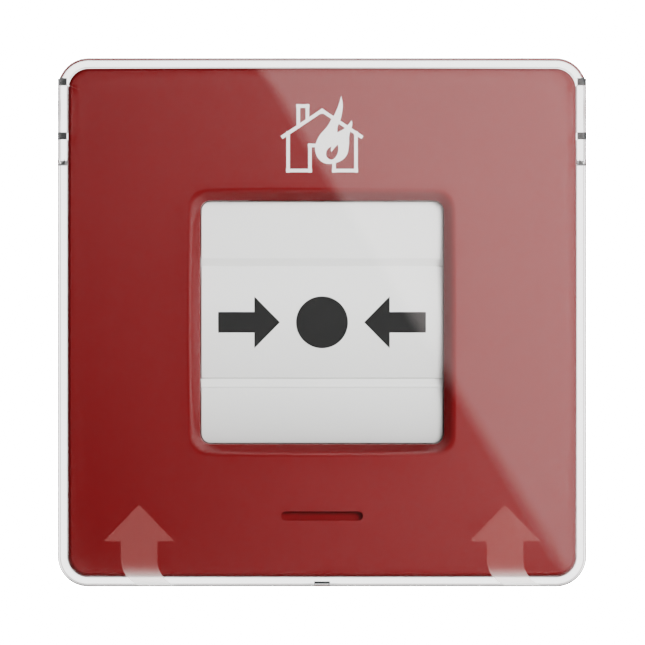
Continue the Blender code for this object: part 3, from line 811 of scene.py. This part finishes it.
def cover_piece():
    """Red cover: one skin from the window over the face and the walls and back inside."""
    loops = [square_loop(WINDOW_HALF, WINDOW_CORNER, WINDOW_DEPTH)]
    loops += window_frame_loops()
    start = WINDOW_HALF + FRAME_WIDTH
    rim = COVER_HALF - FACE_ROUND
    corner = WINDOW_CORNER + 1.9
    count = 14
    for i in range(1, count + 1):
        loops.append(face_ring(start + (rim - start) * i / count, corner, 0.0))
    for i in range(1, 7):
        angle = i / 6 * math.pi / 2
        half = rim + FACE_ROUND * math.sin(angle)
        corner = COVER_CORNER - FACE_ROUND + FACE_ROUND * math.sin(angle)
        loops.append(face_ring(half, corner, FACE_ROUND * (1 - math.cos(angle))))
    loops.append(square_loop(COVER_HALF, COVER_CORNER, COVER_BACK + COVER_FOOT))
    loops.append(square_loop(COVER_HALF - COVER_FOOT, COVER_CORNER - COVER_FOOT, COVER_BACK))
    inner = COVER_HALF - COVER_WALL
    loops.append(square_loop(inner, COVER_INNER_CORNER, COVER_BACK))
    for half in (inner, 40.0, 33.0, WINDOW_HALF + WINDOW_WALL):
        loops.append(face_ring(half, COVER_INNER_CORNER, FACE_SKIN))
    loops.append(square_loop(WINDOW_HALF + WINDOW_WALL, COVER_INNER_CORNER, WINDOW_DEPTH))
    cover = loft("cover_shell", loops, MATS["red"], ring=True)
    triangulate(cover)
    for side in (-1, 1):
        hole = [(x, PIN_HOLE_RADIUS) for x in sorted(side * x for x in PIN_HOLE_SPAN)]
        cut(cover, turned("tool", hole, None, "X", (PIVOT_D, PIVOT_Z)))
    hole = [(z, KEY_HOLE_RADIUS) for z in KEY_HOLE_SPAN]
    cut(cover, turned("tool", hole, None, "Z", (0.0, (cam_low[1] + cam_high[1]) / 2)))
    weld(cover, block(-CATCH_HALF, CATCH_HALF, *CATCH_SPAN, -LID_HALF + LID_WALL + CATCH_GAP, CATCH_ROOT))
    cut(cover, block(-BADGE_HALF, BADGE_HALF, BADGE_FLOOR, FACE_TOP, BADGE_Z - BADGE_ROUND,
                     BADGE_Z + BADGE_ROUND, BADGE_ROUND))
    cut(cover, block(-FLAG_SLOT_HALF, FLAG_SLOT_HALF, flag_low[1] - 0.2, flag_high[1] + 0.06,
                     *FLAG_SLOT_Z))
    cut(cover, block(-FLAG_ROOM_HALF, FLAG_ROOM_HALF, *FLAG_ROOM_SPAN, *FLAG_ROOM_Z))
    smooth(cover, 32.0)
    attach(cover, "housing")
    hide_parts("front_cover")


# ---------------------------------------------------------------- operating element

def panel_piece():
    """Middle of the operating element, with its stem and the latch nose below the stem."""
    panel = slab("press_panel", -PLATE_HALF, PLATE_HALF, -PANEL_HALF, PANEL_HALF,
                 PLATE_BACK, PLATE_FRONT, [PLATE_CORNER] * 4, PLATE_EDGE, MATS["plate"])
    crown(panel, PANEL_CROWN)
    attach(panel, "press_plate")
    across, up = STEM_HALF
    stem = prism("press_stem", outline(-across, across, -up, up, [STEM_CORNER] * 4), STEM_END,
                 PLATE_BACK + 0.4, MATS["plate"])
    weld(stem, block(*LATCH_NOSE))
    smooth(stem)
    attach(stem, "press_plate")
    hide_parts("press_plate")


def leaf_piece(name, body, up, bow):
    """Strip above or below the plate, with the bending web between the two."""
    z0, z1 = sorted((up * LEAF_START, up * PLATE_HALF))
    radii = [LEAF_CORNER] * 2 + [PLATE_CORNER] * 2
    if up < 0:
        radii.reverse()
    leaf = slab(name + "_plate", -PLATE_HALF, PLATE_HALF, z0, z1, PLATE_BACK, PLATE_FRONT, radii,
                PLATE_EDGE, MATS["leaf"])
    crown(leaf, bow)
    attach(leaf, body)
    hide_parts(body)
    s0, s1 = sorted((up * (PANEL_HALF - WEB_LAP), up * (LEAF_START + WEB_LAP)))
    strip = hinge_strip(name + "_hinge_strip", s0, s1)
    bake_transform(strip)


def hinge_strip(name, z0, z1):
    """Thin flexible web in the groove between two plates, built in narrow rows."""
    rows = 14
    half = PLATE_HALF - 0.02
    loops = []
    for i in range(rows + 1):
        z = z0 + (z1 - z0) * i / rows
        share = (abs(z) - PANEL_HALF) / (LEAF_START - PANEL_HALF)
        top = PLATE_FRONT - PANEL_CROWN - WEB_DIP + WEB_RISE * min(max(share, 0.0), 1.0)
        low = top - WEB_THICK
        loops.append([(-half, low, z), (half, low, z), (half, top, z), (-half, top, z)])
    return smooth(loft(name, loops, MATS["groove"]))


def symbol(name, shape):
    """One mark printed on the plate's bowed front."""
    shape = [(x * SYMBOL_SCALE, z * SYMBOL_SCALE) for x, z in shape]
    mark = prism(name, shape, 0.0, 1.0, MATS["ink"])
    drape(mark, lambda x, z: PLATE_FRONT - PANEL_CROWN * (z / PANEL_HALF) ** 2, PRINT, 0.6)
    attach(mark, "press_plate")
    smooth(mark)


def symbols():
    """Dot between two arrows that point at it."""
    symbol("symbol_dot", circle(0.0, 0.0, DOT_RADIUS, 96))
    arrow = [(ARROW_TAIL, -ARROW_SHAFT), (ARROW_NECK, -ARROW_SHAFT), (ARROW_NECK, -ARROW_HEAD),
             (ARROW_TIP, 0.0), (ARROW_NECK, ARROW_HEAD), (ARROW_NECK, ARROW_SHAFT),
             (ARROW_TAIL, ARROW_SHAFT)]
    symbol("symbol_arrow_right", arrow)
    symbol("symbol_arrow_left", [(-x, z) for x, z in reversed(arrow)])


# ---------------------------------------------------------------- pictogram

def rounded_path(points, tips, steps=5):
    """Closed smooth curve through the points, with sharp turns kept at the tips."""
    count = len(points)
    made = []
    for i in range(count):
        p0, p1, p2, p3 = (Vector(points[(i + k) % count]) for k in (-1, 0, 1, 2))
        leave = (p2 - p1) * 0.6 if i in tips else (p2 - p0) / 2
        arrive = (p2 - p1) * 0.6 if (i + 1) % count in tips else (p3 - p1) / 2
        for k in range(steps):
            t = k / steps
            a = 2 * t ** 3 - 3 * t ** 2 + 1
            b = t ** 3 - 2 * t ** 2 + t
            c = -2 * t ** 3 + 3 * t ** 2
            d = t ** 3 - t ** 2
            made.append(tuple(p1 * a + leave * b + p2 * c + arrive * d))
    return made


def stroke(a, b, extend=0.0):
    """One straight line of the drawing, as a thin prism."""
    a, b = Vector(a), Vector(b)
    along = (b - a).normalized()
    across = Vector((-along.y, along.x)) * LINE / 2
    a = a - along * extend
    b = b + along * extend
    shape = [tuple(a - across), tuple(b - across), tuple(b + across), tuple(a + across)]
    return prism("tool", shape, 0.0, 1.0)


def pictogram():
    """House outline with a flame in its doorway, printed above the window."""
    (top_x, top), (end, eave) = ROOF_TOP, ROOF_END
    wall_top = top - HOUSE_HALF * ((top - eave) / end)
    sill = HOUSE_SILL
    roof = [((-end, eave), (top_x, top)), ((end, eave), (top_x, top))]
    walls = [((-HOUSE_HALF, sill), (-HOUSE_HALF, wall_top)), ((HOUSE_HALF, sill), (HOUSE_HALF, wall_top)),
             ((-HOUSE_HALF, sill), (DOOR_LEFT, sill)), ((DOOR_RIGHT, sill), (HOUSE_HALF, sill)),
             ((DOOR_LEFT, sill), (DOOR_LEFT, DOOR_TOP)),
             ((DOOR_LEFT, DOOR_TOP), (DOOR_TOP_END, DOOR_TOP)),
             ((DOOR_RIGHT, sill), (DOOR_RIGHT, DOOR_RIGHT_TOP)),
             ((CHIMNEY_LEFT, CHIMNEY_FEET[0]), (CHIMNEY_LEFT, CHIMNEY_TOP)),
             ((CHIMNEY_RIGHT, CHIMNEY_FEET[1]), (CHIMNEY_RIGHT, CHIMNEY_TOP)),
             ((CHIMNEY_LEFT, CHIMNEY_TOP), (CHIMNEY_RIGHT, CHIMNEY_TOP))]
    made = prism("pictogram", rounded_path(FLAME, FLAME_TIPS), 0.0, 1.0)
    for lines, lap in ((roof, 0.0), (walls, LINE_LAP)):
        for a, b in lines:
            weld(made, stroke(a, b, lap))
    weld(made, prism("tool", ROOF_TIP, 0.0, 1.0))
    cut(made, prism("tool", rounded_path(CORE, CORE_TIPS), -1.0, 2.0))
    for vert in made.data.vertices:
        vert.co.z += HOUSE_BASE * MM
    drape(made, face_depth, PRINT)
    dress(made, MATS["print"])
    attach(made, "housing")


# ---------------------------------------------------------------- lid

def lid_surface(x, z):
    """Depth of the lid's front, with the roll at its upper and lower edge."""
    over = abs(z) - (LID_HALF - LID_ROUND)
    if over <= 0:
        return LID_FRONT
    over = min(over, LID_ROUND * 0.98)
    return LID_FRONT - LID_ROUND + math.sqrt(LID_ROUND ** 2 - over ** 2)


def lid_piece():
    """Clear lid: front, skirt, two ears with pins, and the small hollows at its edge."""
    inner = LID_HALF - LID_WALL
    loops = [square_loop(20.0, 1.0, LID_INNER), square_loop(inner - 4.0, 1.2, LID_INNER)]
    for i in range(7):
        angle = i / 6 * math.pi / 2
        inset = LID_FILLET * (1 - math.sin(angle))
        depth = LID_INNER - LID_FILLET * (1 - math.cos(angle))
        loops.append(square_loop(inner - inset, LID_CORNER - LID_WALL - inset, depth))
    loops.append(square_loop(inner, LID_CORNER - LID_WALL, LID_EAR + LID_FOOT))
    loops.append(square_loop(inner + LID_FOOT, LID_CORNER - LID_WALL + LID_FOOT, LID_EAR))
    loops.append(square_loop(LID_HALF - LID_FOOT, LID_CORNER - LID_FOOT, LID_EAR))
    loops.append(square_loop(LID_HALF, LID_CORNER, LID_EAR + LID_FOOT))
    for i in range(9):
        angle = i / 8 * math.pi / 2
        inset = LID_ROUND * (1 - math.cos(angle))
        depth = LID_FRONT - LID_ROUND + LID_ROUND * math.sin(angle)
        loops.append(square_loop(LID_HALF - inset, LID_CORNER - inset, depth))
    loops.append(square_loop(LID_HALF - 5.0, 2.0, LID_FRONT))
    lid = loft("lid_shell", loops, MATS["clear"])
    triangulate(lid)
    below_ears = [(CLEAR_D, -CLEAR_Z), (LID_SKIRT, -CLEAR_Z), (LID_SKIRT, EAR_LOW - EAR_CHAMFER),
                  (LID_SKIRT - EAR_CHAMFER, EAR_LOW), (CLEAR_D, EAR_LOW)]
    cut(lid, prism("tool", below_ears, -CLEAR_X, CLEAR_X, axis="X"))
    cut(lid, side_block(-CLEAR_X, CLEAR_X, CLEAR_D, LID_TOP_SKIRT, EAR_TOP, CLEAR_Z, EAR_TOP_ROUND))
    cut(lid, block(-EAR_INSIDE, EAR_INSIDE, CLEAR_D, LID_TOP_SKIRT - 0.01, 40.0, CLEAR_Z))
    for side in (-1, 1):
        span = sorted(side * x for x in SLOT_SPAN)
        for middle in SLOTS:
            cut(lid, block(*span, CLEAR_D, SLOT_END, middle - SLOT_WIDTH / 2, middle + SLOT_WIDTH / 2))
        cut(lid, prism("tool", [(side * x, z) for x, z in POCKET], POCKET_START, SLOT_END))
        start, end = sorted((side * PIN_ROOT, side * PIN_TIP))
        along, inward = PIN_CHAMFER
        pin = [(start, PIN_RADIUS - inward), (start + along, PIN_RADIUS), (end - along, PIN_RADIUS),
               (end, PIN_RADIUS - inward)]
        weld(lid, turned("tool", pin, None, "X", (PIVOT_D, PIVOT_Z)))
    cut(lid, block(-SLIT_HALF, SLIT_HALF, SLIT_START, SLIT_END, SLIT_LOW, SLIT_HIGH))
    smooth(lid, 28.0)
    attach(lid, "lid")
    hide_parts("lid")
    unshadowed(lid)


def unshadowed(obj):
    """Light passes straight through, as it does through thin clear plastic."""
    obj.visible_shadow = False
    obj.visible_diffuse = False


def painted_slot_shades():
    """Painted shade: dark faces at the ends of the slots, the pockets and the slit, seen through the
    lid's front.
    """
    gap = END_GAP
    slit = block(gap - SLIT_HALF, SLIT_HALF - gap, SLIT_END - END_THICK - gap, SLIT_END - gap,
                 SLIT_LOW + gap, SLIT_HIGH - gap)
    back, front = SLOT_END - END_THICK - gap, SLOT_END - gap
    slots = None
    for side in (-1, 1):
        inner, outer = sorted((side * (LID_HALF - LID_WALL + gap), side * (LID_HALF - gap)))
        middle = [sum(v) / 3 for v in zip(*POCKET)]
        pocket = [(side * (x + (middle[0] - x) * POCKET_SHRINK), z + (middle[1] - z) * POCKET_SHRINK)
                  for x, z in POCKET]
        ends = [prism("tool", pocket, back, front)]
        for height in SLOTS:
            ends.append(block(inner, outer, back, front, height - SLOT_WIDTH / 2 + gap,
                              height + SLOT_WIDTH / 2 - gap))
        for end in ends:
            slots = weld(slots, end) if slots else end
    # both pieces are painted shade inside the lid's hollows
    for piece, name, mat in ((slit, "slit_painted_shade", "dark"), (slots, "painted_slot_shades", "shade")):
        piece.name = name
        dress(piece, MATS[mat])
        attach(piece, "lid")
        unshadowed(piece)


def lift_arrow(name, centre):
    """Arrow on the lid that points up, its tail curling over the lower edge."""
    left, right = [], []
    steps = 12
    for i in range(steps + 1):
        z = LIFT_BEND + (LIFT_END - LIFT_BEND) * i / steps
        swing = LIFT_CURL - math.sqrt(LIFT_CURL ** 2 - (LIFT_BEND - z) ** 2)
        left.append((centre - LIFT_SHAFT + swing, z))
        right.append((centre + LIFT_SHAFT + swing, z))
    shape = [(centre, LIFT_TIP), (centre - LIFT_HEAD, LIFT_NECK), (centre - LIFT_SHAFT, LIFT_NECK)]
    shape += left + list(reversed(right))
    shape += [(centre + LIFT_SHAFT, LIFT_NECK), (centre + LIFT_HEAD, LIFT_NECK)]
    arrow = prism(name, shape, 0.0, 1.0, MATS["frost"])
    drape(arrow, lid_surface, PRINT, 0.35)
    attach(arrow, "lid")
    unshadowed(arrow)


# ---------------------------------------------------------------- pieces kept from the frame

def refine(name, body, width, mat):
    """Finished copy of a frame node: cleaned faces, softened edges, its own finish."""
    bm = bmesh.new()
    bm.from_mesh(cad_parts[name].data)
    bmesh.ops.remove_doubles(bm, verts=bm.verts, dist=0.0000005)
    bmesh.ops.dissolve_limit(bm, angle_limit=math.radians(0.6), verts=bm.verts, edges=bm.edges)
    mesh = bpy.data.meshes.new(name + "_finished")
    bm.to_mesh(mesh)
    bm.free()
    made = bpy.data.objects.new(name + "_finished", mesh)
    bpy.context.scene.collection.objects.link(made)
    dress(made, MATS[mat])
    if width:
        soften(made, width)
    else:
        smooth(made)
    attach(made, body)
    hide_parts(name)
    return made


def kept_pieces():
    """Every other node of the frame, with the width of its softened edges in millimetres."""
    fixed = [("mounting_plate", 0.35, "wall", "wall_plate_red"),
             ("rear_housing", 0.25, "rear", "rear_red"),
             ("gasket", 0.15, "rubber", "seal_rubber"),
             ("guide_frame", 0.15, "frame", "frame_grey"),
             ("circuit_board", 0.1, "board", "board_green"),
             ("radio_module", 0.2, "shield", "shield_metal"),
             ("control_chip", 0.1, "chip", "chip_black"),
             ("tamper_switch", 0.15, "chip", "chip_black"),
             ("power_switch", 0.15, "chip", "chip_black"),
             ("antenna", 0.0, "spring", "spring_steel"),
             ("battery_left", 0.2, "cell", "cell_sleeve"),
             ("battery_right", 0.2, "cell", "cell_sleeve"),
             ("battery_cradle", 0.2, "dark", "moulded_black"),
             ("contact_left", 0.1, "spring", "spring_steel"),
             ("contact_right", 0.1, "spring", "spring_steel"),
             ("locking_screw", 0.1, "screw", "screw_steel"),
             ("micro_switch", 0.1, "chip", "chip_black")]
    for row in ("lower", "upper"):
        for side in ("left", "right"):
            fixed.append((f"cover_screw_{row}_{side}", 0.1, "screw", "screw_steel"))
    for name, width, mat, slot in fixed:
        refine(name, "housing", width, mat)
    spring = refine("return_spring", "housing", 0.0, "spring")
    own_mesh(spring)
    moving = [("switch_lever", 0.08, "spring", "spring_steel"),
              ("alarm_flag", 0.12, "yellow", "flag_yellow"),
              ("reset_cam", 0.15, "cam", "cam_white"),
              ("latch_pawl", 0.15, "pawl", "pawl_grey"),
              ("tamper_plunger", 0.15, "plate", "plate_white"),
              ("power_button", 0.15, "dark", "moulded_black")]
    for name, width, mat, slot in moving:
        refine(name, name, width, mat)


# ---------------------------------------------------------------- stage

def studio_world():
    """White backdrop behind; in front a soft ring of light, brighter from the upper right."""
    world = bpy.data.worlds.new("studio")
    bpy.context.scene.world = world
    world.use_nodes = True
    tree = world.node_tree
    tree.nodes.clear()
    where = node(tree, "ShaderNodeTexCoord")
    split = node(tree, "ShaderNodeSeparateXYZ")
    tree.links.new(where.outputs["Generated"], split.inputs["Vector"])
    right, back, up = (split.outputs[axis] for axis in "XYZ")
    front = maths(tree, "MULTIPLY", back, -1.0)

    def glow(across, rise, level, least, start, stop, power=1.0):
        """Slanting brightness inside a soft ring, or inside a disc where it stops late."""
        tilt = maths(tree, "ADD", maths(tree, "MULTIPLY", right, across),
                     maths(tree, "MULTIPLY", up, rise))
        light = maths(tree, "MAXIMUM", maths(tree, "ADD", tilt, level), least)
        light = maths(tree, "MULTIPLY", light, between(tree, front, *start, 0.0, 1.0))
        return maths(tree, "MULTIPLY", light, between(tree, front, *stop, power, 0.0))

    strip = maths(tree, "MULTIPLY", between(tree, right, *STRIP_EDGES[0], 0.0, STRIP_LIGHT),
                  between(tree, front, *STRIP_EDGES[1], 0.0, 1.0))
    ring = maths(tree, "ADD", glow(*NEAR_GLOW), glow(*FAR_GLOW))
    ring = maths(tree, "MULTIPLY", maths(tree, "ADD", ring, strip), RING_LIGHT)
    behind = between(tree, back, *BACK_EDGE, 0.0, BACK_LIGHT)
    path = node(tree, "ShaderNodeLightPath")
    through = ramp(tree, path.outputs["Is Transmission Ray"], SIDE_LIGHT, THROUGH_LIGHT)
    sides = maths(tree, "MULTIPLY", between(tree, front, *SIDE_EDGE, 0.0, 1.0), through)
    light = maths(tree, "ADD", maths(tree, "ADD", ring, glow(*VEIL_GLOW, VEIL_LIGHT)), behind)
    shown = node(tree, "ShaderNodeBackground")
    shown.inputs["Strength"].default_value = BACKDROP
    lit = node(tree, "ShaderNodeBackground")
    tree.links.new(maths(tree, "MAXIMUM", light, sides), lit.inputs["Strength"])
    mix = node(tree, "ShaderNodeMixShader")
    out = node(tree, "ShaderNodeOutputWorld")
    tree.links.new(path.outputs["Is Camera Ray"], mix.inputs[0])
    tree.links.new(lit.outputs[0], mix.inputs[1])
    tree.links.new(shown.outputs[0], mix.inputs[2])
    tree.links.new(mix.outputs[0], out.inputs["Surface"])


def reflector_card(distance):
    """Panel of light in front of the lid: its slanting edge is what the flat lid mirrors."""
    reach = 1 + CARD_GAP / distance
    size = LID_HALF * CARD_SHARE * reach
    front = LID_FRONT + CARD_GAP
    bm = bmesh.new()
    bm.faces.new([bm.verts.new((x * size, front, z * size))
                  for x, z in ((-1, -1), (1, -1), (1, 1), (-1, 1))])
    mat = bpy.data.materials.new("card_light")
    mat.use_nodes = True
    tree = mat.node_tree
    tree.nodes.clear()
    where = node(tree, "ShaderNodeTexCoord")

    def along(direction, start):
        """How far a place is from the start in a direction, in millimetres on the lid."""
        scaled = [part / (MM * reach) for part in direction]
        reached = vector_maths(tree, "DOT_PRODUCT", where.outputs["Object"], (scaled[0], 0.0, scaled[1]))
        return maths(tree, "SUBTRACT", reached, direction.dot(start))

    start, end = Vector(EDGE_START), Vector(EDGE_END)
    run = (end - start).normalized()
    side = Vector((-run.y, run.x))
    width = between(tree, along(run, start), 0.0, (end - start).length, *EDGE_WIDTHS, "LINEAR")
    share = maths(tree, "DIVIDE", along(side, start), width)
    edge = between(tree, share, -0.5, 0.5, 0.0, 1.0)
    glow = node(tree, "ShaderNodeEmission")
    glow.inputs["Color"].default_value = CARD_COLOUR
    tree.links.new(ramp(tree, edge, CARD_LOW, CARD_HIGH), glow.inputs["Strength"])
    out = node(tree, "ShaderNodeOutputMaterial")
    tree.links.new(glow.outputs[0], out.inputs["Surface"])
    card = new_piece("reflector_card", bm, mat)
    card.visible_camera = False
    card.visible_diffuse = False
    card.visible_shadow = False


def soft_lamp(name, spot, power):
    """Soft square lamp aimed at the middle of the front."""
    x, d, z = spot
    data = bpy.data.lights.new(name, "AREA")
    data.shape = "SQUARE"
    data.size = LAMP_SIZE * MM
    data.energy = power
    made = bpy.data.objects.new(name, data)
    bpy.context.scene.collection.objects.link(made)
    made.location = (x * MM, -d * MM, z * MM)
    aim = Vector((0.0, -LID_FRONT * MM, 0.0)) - made.location
    made.rotation_euler = aim.to_track_quat("-Z", "Y").to_euler()
    made.visible_camera = False
    made.visible_glossy = False
    made.visible_transmission = False


def lamps():
    """Key lamp to the right in front, and a fill behind the face for the left side and the back."""
    soft_lamp("key", KEY_PLACE, KEY_POWER)
    soft_lamp("fill", FILL_PLACE, FILL_POWER)


def pale_floor():
    """Wide pale disc well below the object."""
    x, d, z = FLOOR_MIDDLE
    bm = bmesh.new()
    bm.faces.new([bm.verts.new((x + FLOOR_RADIUS * math.cos(a), d + FLOOR_RADIUS * math.sin(a), z))
                  for a in (i * math.pi / 32 for i in range(64))])
    mat = moulded("floor_paper", (0.62, 0.62, 0.61), 0.7, mottle=0.01)
    floor = new_piece("floor", bm, mat)
    floor.visible_glossy = False


def camera(distance):
    """Long lens straight in front of the face, as in the photograph."""
    data = bpy.data.cameras.new("camera")
    data.lens = LENS
    data.sensor_width = SENSOR
    data.clip_end = CLIP_END
    made = bpy.data.objects.new("camera", data)
    bpy.context.scene.collection.objects.link(made)
    made.location = (CAMERA_X * MM, -(LID_FRONT + distance) * MM, CAMERA_Z * MM)
    made.rotation_euler = (math.pi / 2, 0.0, 0.0)
    bpy.context.scene.camera = made


def colour_settings():
    view = bpy.context.scene.view_settings
    view.view_transform = "AgX"
    view.look = "AgX - Medium High Contrast"
    view.exposure = 0.0


distance = VIEW_WIDTH / SENSOR * LENS
cover_piece()
panel_piece()
leaf_piece("upper", "upper_leaf", 1, UPPER_CROWN)
leaf_piece("lower", "lower_leaf", -1, LOWER_CROWN)
symbols()
pictogram()
lid_piece()
painted_slot_shades()
lift_arrow("lift_arrow_left", -LIFT_X)
lift_arrow("lift_arrow_right", LIFT_X)
kept_pieces()
studio_world()
reflector_card(distance)
lamps()
pale_floor()
camera(distance)
colour_settings()
